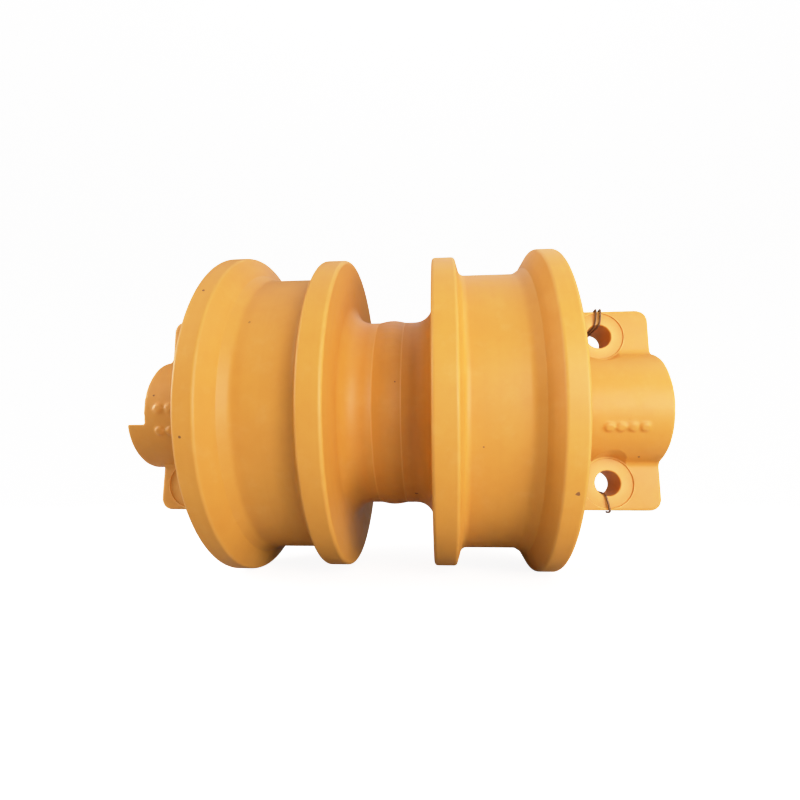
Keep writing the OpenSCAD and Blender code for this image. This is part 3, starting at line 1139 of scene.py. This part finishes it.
@dataclass
class EndCollar:
    """A cast end collar: bolt ears, half-round boss, seal cup. Sizes in millimetres."""

    side: Side
    end_y: float
    lug_end_y: float = 0.0
    ear_half_w: float = 76.4
    ear_face_x: float = 12.0
    seat_x: float = 17.0
    boss_r: float = 43.2
    boss_fillet_r: float = 5.0
    ear_corner_r: float = 8.5
    ear_in_y: float = 121.0
    hole_y: float = 158.5
    hole_z: float = 56.3
    hole_r: float = 9.25
    spot_r: float = 18.5
    spot_x: float = 11.0
    scallop_r: float = 19.4
    scallop_slope: float = 0.26
    bore_r: float = 32.05
    cup_r: float = 65.2
    cup_in_r: float = 61.2
    cup_mouth_y: float = 106.9
    cup_floor_y: float = 116.6
    disc_end_y: float = 123.5
    pin_y: float = 150.0
    pin_z: float = 29.0
    pin_r: float = 6.0
    pin_depth_x: float = 9.0
    lug_top_z: float = -13.0
    pips: tuple[tuple[float, float], ...] = ()
    pip_r: float = 3.2
    pip_length: float = 3.5
    pip_sunk: float = 2.0
    pip_round: float = 0.4
    overlap: float = 2.0
    groove_r: float = 35.05
    groove_from_y: float = 117.5
    groove_to_y: float = 121.5
    seat_cut_w: float = 170.0
    seat_cut_depth: float = 6.0
    grain_size: float = 0.95
    crease_degrees: float = 38.0

    def saddle(self) -> bmesh.types.BMesh:
        """The ears and the half-round boss with its fillets, as one extruded shape.

        Returns:
            The shape.
        """
        reach = self.boss_r + self.boss_fillet_r
        fillet_x = self.ear_face_x + self.boss_fillet_r
        fillet_z = math.sqrt(reach * reach - fillet_x * fillet_x)
        start = math.atan2(fillet_z, fillet_x)
        boss = [
            Vector((math.cos(angle), math.sin(angle))) * self.boss_r
            for angle in (start * (1.0 - step / 24.0) for step in range(49))
        ]
        wedge = [
            Vector((fillet_x, fillet_z)) - Vector((math.cos(angle), math.sin(angle))) * self.boss_fillet_r
            for angle in (start * step / 6.0 for step in range(6))
        ]
        mirror_wedge = [Vector((point.x, -point.y)) for point in reversed(wedge)]
        seat, half = -self.seat_x, self.ear_half_w
        outline = [Vector((seat, half)), Vector((self.ear_face_x, half)), *wedge, *boss, *mirror_wedge]
        outline += [Vector((self.ear_face_x, -half)), Vector((seat, -half))]
        shape = bmesh.new()
        verts = [shape.verts.new((point.x * MM, self.ear_in_y * MM, point.y * MM)) for point in outline]
        face = shape.faces.new(verts)
        grown = bmesh.ops.extrude_face_region(shape, geom=[face])["geom"]
        far = [item for item in grown if isinstance(item, bmesh.types.BMVert)]
        bmesh.ops.translate(shape, vec=(0.0, (self.end_y - self.ear_in_y) * MM, 0.0), verts=far)
        bmesh.ops.recalc_face_normals(shape, faces=shape.faces)
        outer = [
            vert for vert in shape.verts
            if abs(abs(vert.co.z) - half * MM) < 1e-6 and abs(vert.co.y - self.end_y * MM) < 1e-6
        ]
        rims = [edge for edge in shape.edges if all(vert in outer for vert in edge.verts)]
        bmesh.ops.bevel(
            shape, geom=rims, offset=self.ear_corner_r * MM, affect="EDGES", segments=8,
            profile=0.5, material=-1,
        )
        return shape

    def cup(self) -> bmesh.types.BMesh:
        """The round disc behind the ears and the seal cup on it.

        Returns:
            The shape.
        """
        corners = [
            Corner(self.bore_r - 2.0 * self.overlap, self.cup_floor_y),
            Corner(self.cup_in_r, self.cup_floor_y, 1.0),
            Corner(self.cup_in_r, self.cup_mouth_y),
            Corner(self.cup_r, self.cup_mouth_y, 0.8),
            Corner(self.cup_r, self.disc_end_y, 1.5),
            Corner(self.bore_r - 2.0 * self.overlap, self.disc_end_y),
        ]
        return turned(rounded_outline(corners))

    def lug(self) -> bmesh.types.BMesh:
        """The half-moon lip that stands proud of the end face.

        Returns:
            The shape.
        """
        inner, outer = self.bore_r - 1.0, self.boss_r
        corners = [
            Corner(inner, self.end_y - self.overlap), Corner(outer, self.end_y - self.overlap),
            Corner(outer, self.lug_end_y, 1.2), Corner(inner, self.lug_end_y),
        ]
        shape = turned(rounded_outline(corners))
        planes = (
            (Vector((0.0, 0.0, self.lug_top_z * MM)), Vector((0.0, 0.0, 1.0))),
            (Vector((-self.seat_x * MM, 0.0, 0.0)), Vector((-1.0, 0.0, 0.0))),
        )
        for point, away in planes:
            geometry = [*shape.verts, *shape.edges, *shape.faces]
            edges = [
                item for item in bmesh.ops.bisect_plane(
                    shape, geom=geometry, plane_co=point, plane_no=away, clear_outer=True,
                )["geom_cut"] if isinstance(item, bmesh.types.BMEdge)
            ]
            bmesh.ops.holes_fill(shape, edges=edges, sides=0)
        bmesh.ops.recalc_face_normals(shape, faces=shape.faces)
        return shape

    def pip(self, y: float, z: float) -> bmesh.types.BMesh:
        """One plain raised pip on the boss.

        Args:
            y: Distance from the middle plane.
            z: Height above the axis.

        Returns:
            The pip.
        """
        tilt = math.asin(z / self.boss_r)
        place = Matrix.Translation((0.0, y * MM, 0.0)) @ Matrix.Rotation(math.radians(90.0) - tilt, 4, "Y")
        place = place @ Matrix.Translation((0.0, 0.0, (self.boss_r - self.pip_sunk) * MM))
        return round_bar(self.pip_r, self.pip_length, place, self.pip_round, 32)

    def blank(self) -> Object:
        """The rough casting: one skin over all its masses, with soft edges and a slightly uneven face.

        Returns:
            The piece, still without its machined cuts.
        """
        masses = [self.saddle(), self.cup()]
        if self.lug_end_y > self.end_y:
            masses.append(self.lug())
        masses += [self.pip(y, z) for y, z in self.pips]
        piece = add_part(f"cast_collar_{self.side.word}", merged(masses))
        skin = piece.modifiers.new("skin", "REMESH")
        skin.mode = "VOXEL"
        skin.voxel_size = self.grain_size * MM
        soften = piece.modifiers.new("soften", "SMOOTH")
        soften.factor = 0.5
        soften.iterations = 7
        settle_modifiers(piece)
        shape = bmesh.new()
        shape.from_mesh(piece.data)
        for vert in shape.verts:
            if vert.co.y > self.ear_in_y * MM:
                swell = noise.noise(vert.co * 45.0) * 0.22 + noise.noise(vert.co * 140.0) * 0.08
                vert.co += vert.normal * (swell - 0.15) * MM
        shape.to_mesh(piece.data)
        shape.free()
        return piece

    def spot_face(self, side_of_axis: int) -> bmesh.types.BMesh:
        """Cutter for one bolt hole with its spot-face.

        Args:
            side_of_axis: 1 for the upper hole, -1 for the lower one.

        Returns:
            The cutter.
        """
        corners = [
            Corner(0.0, -self.seat_x - self.overlap),
            Corner(self.hole_r + 1.4, -self.seat_x - self.overlap),
            Corner(self.hole_r + 1.0, -self.seat_x),
            Corner(self.hole_r, -self.seat_x + 1.0),
            Corner(self.hole_r, self.spot_x - 0.5, 0.6),
            Corner(self.hole_r + 0.6, self.spot_x),
            Corner(self.spot_r, self.spot_x, 0.7),
            Corner(self.spot_r, self.ear_face_x),
            Corner(self.scallop_r, self.ear_face_x + 0.3),
            Corner(self.scallop_r + self.scallop_slope * self.boss_r, self.ear_face_x + self.boss_r),
            Corner(0.0, self.ear_face_x + self.boss_r),
        ]
        shape = turned(rounded_outline(corners, closed=False, degrees_a_step=20.0), closed=False, steps=96)
        place = Matrix.Translation(Vector((0.0, self.hole_y, side_of_axis * self.hole_z)) * MM)
        turn = Matrix.Rotation(math.radians(-90.0), 4, "Z")
        bmesh.ops.transform(shape, matrix=place @ turn, verts=shape.verts)
        bmesh.ops.recalc_face_normals(shape, faces=shape.faces)
        return shape

    def seat_cut(self) -> bmesh.types.BMesh:
        """Cutter that faces the seat flat, behind the disc.

        Returns:
            The cutter.
        """
        depth, low_y = self.seat_cut_depth, self.disc_end_y - 0.4
        length = self.end_y + 10.0 * self.overlap - low_y
        place = Matrix.Translation(Vector((-self.seat_x - depth / 2.0, low_y + length / 2.0, 0.0)) * MM)
        shape = bmesh.new()
        bmesh.ops.create_cube(
            shape, size=1.0,
            matrix=place @ Matrix.Diagonal(Vector((depth, length, self.seat_cut_w, 1.0 / MM)) * MM),
        )
        return shape

    def shaft_bore(self) -> bmesh.types.BMesh:
        """Cutter for the shaft's bore with its O-ring groove.

        Returns:
            The cutter.
        """
        from_y, to_y = self.cup_floor_y - 4.6, 210.0
        corners = [
            Corner(0.0, from_y), Corner(self.bore_r, from_y),
            Corner(self.bore_r, self.groove_from_y), Corner(self.groove_r, self.groove_from_y),
            Corner(self.groove_r, self.groove_to_y), Corner(self.bore_r, self.groove_to_y),
            Corner(self.bore_r, to_y), Corner(0.0, to_y),
        ]
        return turned(rounded_outline(corners, closed=False), closed=False)

    def pin_hole(self) -> bmesh.types.BMesh:
        """Cutter for the lock pin's blind hole.

        Returns:
            The cutter.
        """
        place = Matrix.Translation(Vector((-self.seat_x - 1.0, self.pin_y, self.pin_z)) * MM)
        turn = Matrix.Rotation(math.radians(90.0), 4, "Y")
        return round_bar(self.pin_r, self.seat_x + self.pin_depth_x + 1.0, place @ turn, sides=48)

    def assemble(self, shop: PaintShop) -> None:
        """Builds and dresses the collar.

        Args:
            shop: Where the finishes come from.
        """
        piece = self.blank()
        cutters = [self.seat_cut(), self.shaft_bore(), self.pin_hole(), self.spot_face(1), self.spot_face(-1)]
        cut(piece, cutters)
        shape = bmesh.new()
        shape.from_mesh(piece.data)
        to_side(shape, self.side)
        shape.to_mesh(piece.data)
        shape.free()
        piece.data.shade_smooth()
        piece.data.set_sharp_from_angle(angle=math.radians(self.crease_degrees))
        mark_edges(piece, 3)
        shop.fit(piece, Finish.CASTING, Body.FIXED, f"collar_{self.side.word}")


# ------------------------------------------------------------------ shipping wires


@dataclass(frozen=True)
class TieWire:
    """A stiff piece of tie wire, bent round a bolt ear and through its hole. Sizes in millimetres."""

    name: str
    path: tuple[tuple[float, float, float], ...]
    closed: bool = True
    radius: float = 0.7
    look: Metal = Metal("tie_wire_steel", (0.30, 0.17, 0.09, 1.0), (0.12, 0.06, 0.03, 1.0), 0.5, 0.7, 0.2)

    def assemble(self, shop: PaintShop) -> None:
        """Bends the wire, dresses it and lets it ride with the collars.

        Args:
            shop: Where the finishes come from.
        """
        curve = bpy.data.curves.new(self.name, "CURVE")
        curve.dimensions = "3D"
        curve.bevel_depth = self.radius * MM
        curve.bevel_resolution = 3
        curve.resolution_u = 6
        spline = curve.splines.new("NURBS")
        spline.points.add(len(self.path) - 1)
        for point, place in zip(spline.points, self.path):
            point.co = (*(Vector(place) * MM), 1.0)
        spline.order_u = 3
        spline.use_cyclic_u = self.closed
        spline.use_endpoint_u = curve.use_fill_caps = not self.closed
        holder = bpy.data.objects.new(self.name, curve)
        bpy.context.scene.collection.objects.link(holder)
        graph = bpy.context.evaluated_depsgraph_get()
        shape = bmesh.new()
        shape.from_mesh(bpy.data.meshes.new_from_object(holder.evaluated_get(graph)))
        bpy.data.objects.remove(holder)
        bmesh.ops.remove_doubles(shape, verts=shape.verts, dist=1e-6)
        bmesh.ops.recalc_face_normals(shape, faces=shape.faces)
        piece = add_part(self.name, shape, 80.0)
        shop.fit(piece, Finish.FASTENER, Body.FIXED)
        piece.data.materials.clear()
        piece.data.materials.append(self.look.build())


def tie_wires() -> list[TieWire]:
    """The wires on the right collar: two loops over its upper ear and a hook round its lower ear.

    Returns:
        The three wires.
    """
    loops = []
    for number, (slide, lean) in enumerate(((0.0, 0.0), (3.4, -1.2))):
        y = 157.0 + slide
        loops.append(TieWire(f"tie_wire_upper_{number}", (
            (9.0, y, 77.2), (12.9, y, 77.9), (12.8, y - 0.3, 72.0), (12.2, y - 0.9, 66.4),
            (11.4, y - 1.9 + 0.3 * lean, 63.6), (4.0, y - 4.0 + lean, 61.4), (-6.0, y - 4.6 + lean, 60.8),
            (-17.0, y - 4.0 + lean, 61.8), (-18.4, y - 3.4 + lean, 62.6), (-17.9, y - 2.0, 68.0),
            (-17.8, y - 0.4, 74.0), (-18.0, y, 77.9), (-14.0, y, 77.2),
        )))
    loops.append(TieWire("tie_wire_lower", (
        (8.0, 157.0, -77.3), (12.8, 158.4, -78.0), (12.8, 157.8, -73.5), (12.7, 156.9, -69.0),
        (12.2, 156.3, -66.0), (11.2, 155.4, -63.9), (2.0, 153.6, -62.6), (-8.0, 152.2, -61.6),
        (-17.0, 150.9, -59.6), (-18.5, 150.0, -60.6), (-17.9, 147.0, -68.0), (-17.9, 144.0, -76.0),
        (-18.8, 142.8, -79.6), (-15.0, 144.2, -77.4),
    ), closed=False))
    return loops


# ------------------------------------------------------------------ studio


@dataclass(frozen=True)
class Lamp:
    """A soft rectangular light that looks at the roller."""

    name: str
    azimuth: float
    elevation: float
    distance: float
    size: tuple[float, float]
    power: float
    colour: tuple[float, float, float] = (1.0, 1.0, 1.0)

    def build(self) -> None:
        """Hangs the light up."""
        light = bpy.data.lights.new(self.name, "AREA")
        light.shape = "RECTANGLE"
        light.size, light.size_y = self.size
        light.energy = self.power
        light.color = self.colour
        turn, lift = math.radians(self.azimuth), math.radians(self.elevation)
        where = Vector((math.cos(turn) * math.cos(lift), math.sin(turn) * math.cos(lift), math.sin(lift)))
        holder = bpy.data.objects.new(self.name, light)
        holder.location = where * self.distance
        holder.rotation_mode = "QUATERNION"
        holder.rotation_quaternion = where.to_track_quat("Z", "Y")
        bpy.context.scene.collection.objects.link(holder)


@dataclass
class Studio:
    """Pale bowl of a floor, soft lights and the camera."""

    floor_z: float = -120.2
    flat_r: float = 1.6
    wall_r: float = 3.2
    wall_h: float = 3.0
    paper: Colour = (0.92, 0.92, 0.92, 1.0)
    bounce: Colour = (0.45, 0.44, 0.42, 1.0)
    camera_at: tuple[float, float, float] = (0.35936, 0.03526, -0.05729)
    look: tuple[float, float, float] = (-0.98726, -0.06500, 0.14526)
    up: tuple[float, float, float] = (0.14490, 0.01027, 0.98939)
    focal_share: float = 0.56817
    shift: tuple[float, float] = (-0.0131, 0.0224)
    glow: float = 1.15
    sky: float = 0.88
    sky_seen: float = 1.6
    lamps: tuple[Lamp, ...] = (
        Lamp("front_key", 30.0, 10.0, 0.8, (0.4, 0.4), 3.7),
        Lamp("low_key", 50.0, -2.0, 0.9, (0.4, 0.1), 3.0),
        Lamp("end_key", 80.0, 40.0, 0.7, (0.3, 0.3), 0.7),
        Lamp("left_fill", -60.0, 30.0, 1.4, (0.8, 0.8), 4.2),
        Lamp("left_end", -80.0, 12.0, 0.9, (0.3, 0.3), 4.2),
        Lamp("back_light", 170.0, 50.0, 1.6, (1.0, 1.0), 2.8),
    )
    shoulder: tuple[tuple[float, float], ...] = (
        (0.0, 0.0), (0.3, 0.3), (0.6, 0.6), (0.8, 0.765), (1.0, 0.86), (1.25, 0.94), (1.6, 1.0),
    )

    def floor(self) -> None:
        """A round floor that sweeps up into a wall on all sides."""
        base = self.floor_z * MM
        sweep = self.wall_r - self.flat_r
        shape = bmesh.new()
        points = [Vector((0.0, base)), Vector((self.flat_r, base))]
        for step in range(1, 13):
            angle = math.radians(90.0) * step / 12.0
            rise = sweep * (1.0 - math.cos(angle))
            points.append(Vector((self.flat_r + sweep * math.sin(angle), base + rise)))
        points.append(Vector((self.wall_r, base + sweep + self.wall_h)))
        verts = [shape.verts.new((point.x, 0.0, point.y)) for point in points]
        edges = [shape.edges.new(pair) for pair in zip(verts, verts[1:])]
        bmesh.ops.spin(
            shape, geom=verts + edges, cent=(0.0, 0.0, 0.0), axis=(0.0, 0.0, 1.0),
            angle=math.tau, steps=96, use_merge=True,
        )
        bmesh.ops.remove_doubles(shape, verts=shape.verts, dist=1e-5)
        bmesh.ops.recalc_face_normals(shape, faces=shape.faces)
        bmesh.ops.reverse_faces(shape, faces=shape.faces)
        bowl = add_part("studio_floor", shape)
        material, canvas, shader, place = new_material("studio_paper")
        faint = canvas.noise(place, 3.0, 2.0)
        shade = canvas.blend(canvas.math("MULTIPLY", faint, 0.06), self.paper, (0.84, 0.84, 0.84, 1.0))
        seen = canvas.node("ShaderNodeLightPath").outputs["Is Camera Ray"]
        canvas.tree.links.new(canvas.blend(seen, self.bounce, shade), shader.inputs["Base Color"])
        shader.inputs["Emission Color"].default_value = (1.0, 1.0, 1.0, 1.0)
        canvas.tree.links.new(canvas.math("MULTIPLY", seen, self.glow), shader.inputs["Emission Strength"])
        below = canvas.math("MULTIPLY", canvas.node("ShaderNodeNewGeometry").outputs["Backfacing"], seen)
        canvas.tree.links.new(canvas.math("SUBTRACT", 1.0, below), shader.inputs["Alpha"])
        shader.inputs["Roughness"].default_value = 0.9
        shader.inputs["Specular IOR Level"].default_value = 0.1
        bowl.data.materials.append(material)

    def world(self) -> None:
        """An even pale sky, shown white to the camera."""
        sky = bpy.data.worlds.new("studio_world")
        bpy.context.scene.world = sky
        sky.use_nodes = True
        tree = sky.node_tree
        background = tree.nodes["Background"]
        background.inputs["Color"].default_value = (1.0, 1.0, 1.0, 1.0)
        strength = tree.nodes.new("ShaderNodeMapRange")
        strength.inputs["To Min"].default_value = self.sky
        strength.inputs["To Max"].default_value = self.sky_seen
        seen = tree.nodes.new("ShaderNodeLightPath").outputs["Is Camera Ray"]
        tree.links.new(seen, strength.inputs["Value"])
        tree.links.new(strength.outputs["Result"], background.inputs["Strength"])

    def camera(self) -> None:
        """The camera, near the roller and a little below its axis."""
        lens = bpy.data.cameras.new("camera")
        lens.sensor_width = 36.0
        lens.lens = lens.sensor_width * self.focal_share
        lens.shift_x, lens.shift_y = self.shift
        lens.clip_start, lens.clip_end = 0.01, 50.0
        holder = bpy.data.objects.new("camera", lens)
        look, up = Vector(self.look), Vector(self.up)
        right = look.cross(up)
        turn = Matrix((right, up, -look)).transposed().to_4x4()
        holder.matrix_world = Matrix.Translation(self.camera_at) @ turn
        bpy.context.scene.collection.objects.link(holder)
        bpy.context.scene.camera = holder

    def tone(self) -> None:
        """A plain transfer with a soft shoulder."""
        look = bpy.context.scene.view_settings
        look.view_transform = "Standard"
        look.use_curve_mapping = True
        top = self.shoulder[-1][0]
        look.curve_mapping.white_level = (top, top, top)
        points = look.curve_mapping.curves[3].points
        for scene_value, shown_value in self.shoulder[1:-1]:
            points.new(scene_value / top, shown_value)
        look.curve_mapping.update()

    def build(self) -> None:
        """Sets the studio up."""
        self.camera()
        self.floor()
        self.world()
        for lamp in self.lamps:
            lamp.build()
        self.tone()
        LOG.info("studio: %d lights", len(self.lamps))


def dress_inner_parts(shop: PaintShop) -> None:
    """Puts their finishes on the CAD nodes that stay.

    Args:
        shop: Where the finishes come from.
    """
    finishes = {finish.value: finish for finish in Finish}
    painted_over = ("lock_pin_right", "lock_pin_left", "fill_plug")
    for part in frame["record"]["subparts"]:
        node = frame["nodes"][part["node"]]
        if not node.hide_render:
            finish = Finish.CASTING if part["node"] in painted_over else finishes[part["material_slot"]]
            shop.dress(node, finish)
            LOG.info("%s: kept from the frame as %s", part["node"], finish.value)


def main() -> None:
    """Builds the studio and the roller's pieces in order."""
    logging.basicConfig(level=logging.INFO, format="%(message)s")
    shop = PaintShop()
    Studio().build()
    Shell().assemble(shop)
    right_pips = tuple((152.0 + PIP_PITCH * index, PIP_ROW_Z) for index in range(4))
    left_pips = tuple(
        (163.0 + PIP_PITCH * index, z) for z in (PIP_ROW_Z, PIP_ROW_Z + 2.0 * PIP_PITCH) for index in range(2)
    )
    EndCollar(Side.RIGHT, end_y=END_Y, pips=right_pips).assemble(shop)
    EndCollar(Side.LEFT, end_y=END_Y - LEFT_SETBACK, lug_end_y=END_Y, pips=left_pips).assemble(shop)
    for wire in tie_wires():
        wire.assemble(shop)
    dress_inner_parts(shop)


if __name__ == "__main__":
    main()
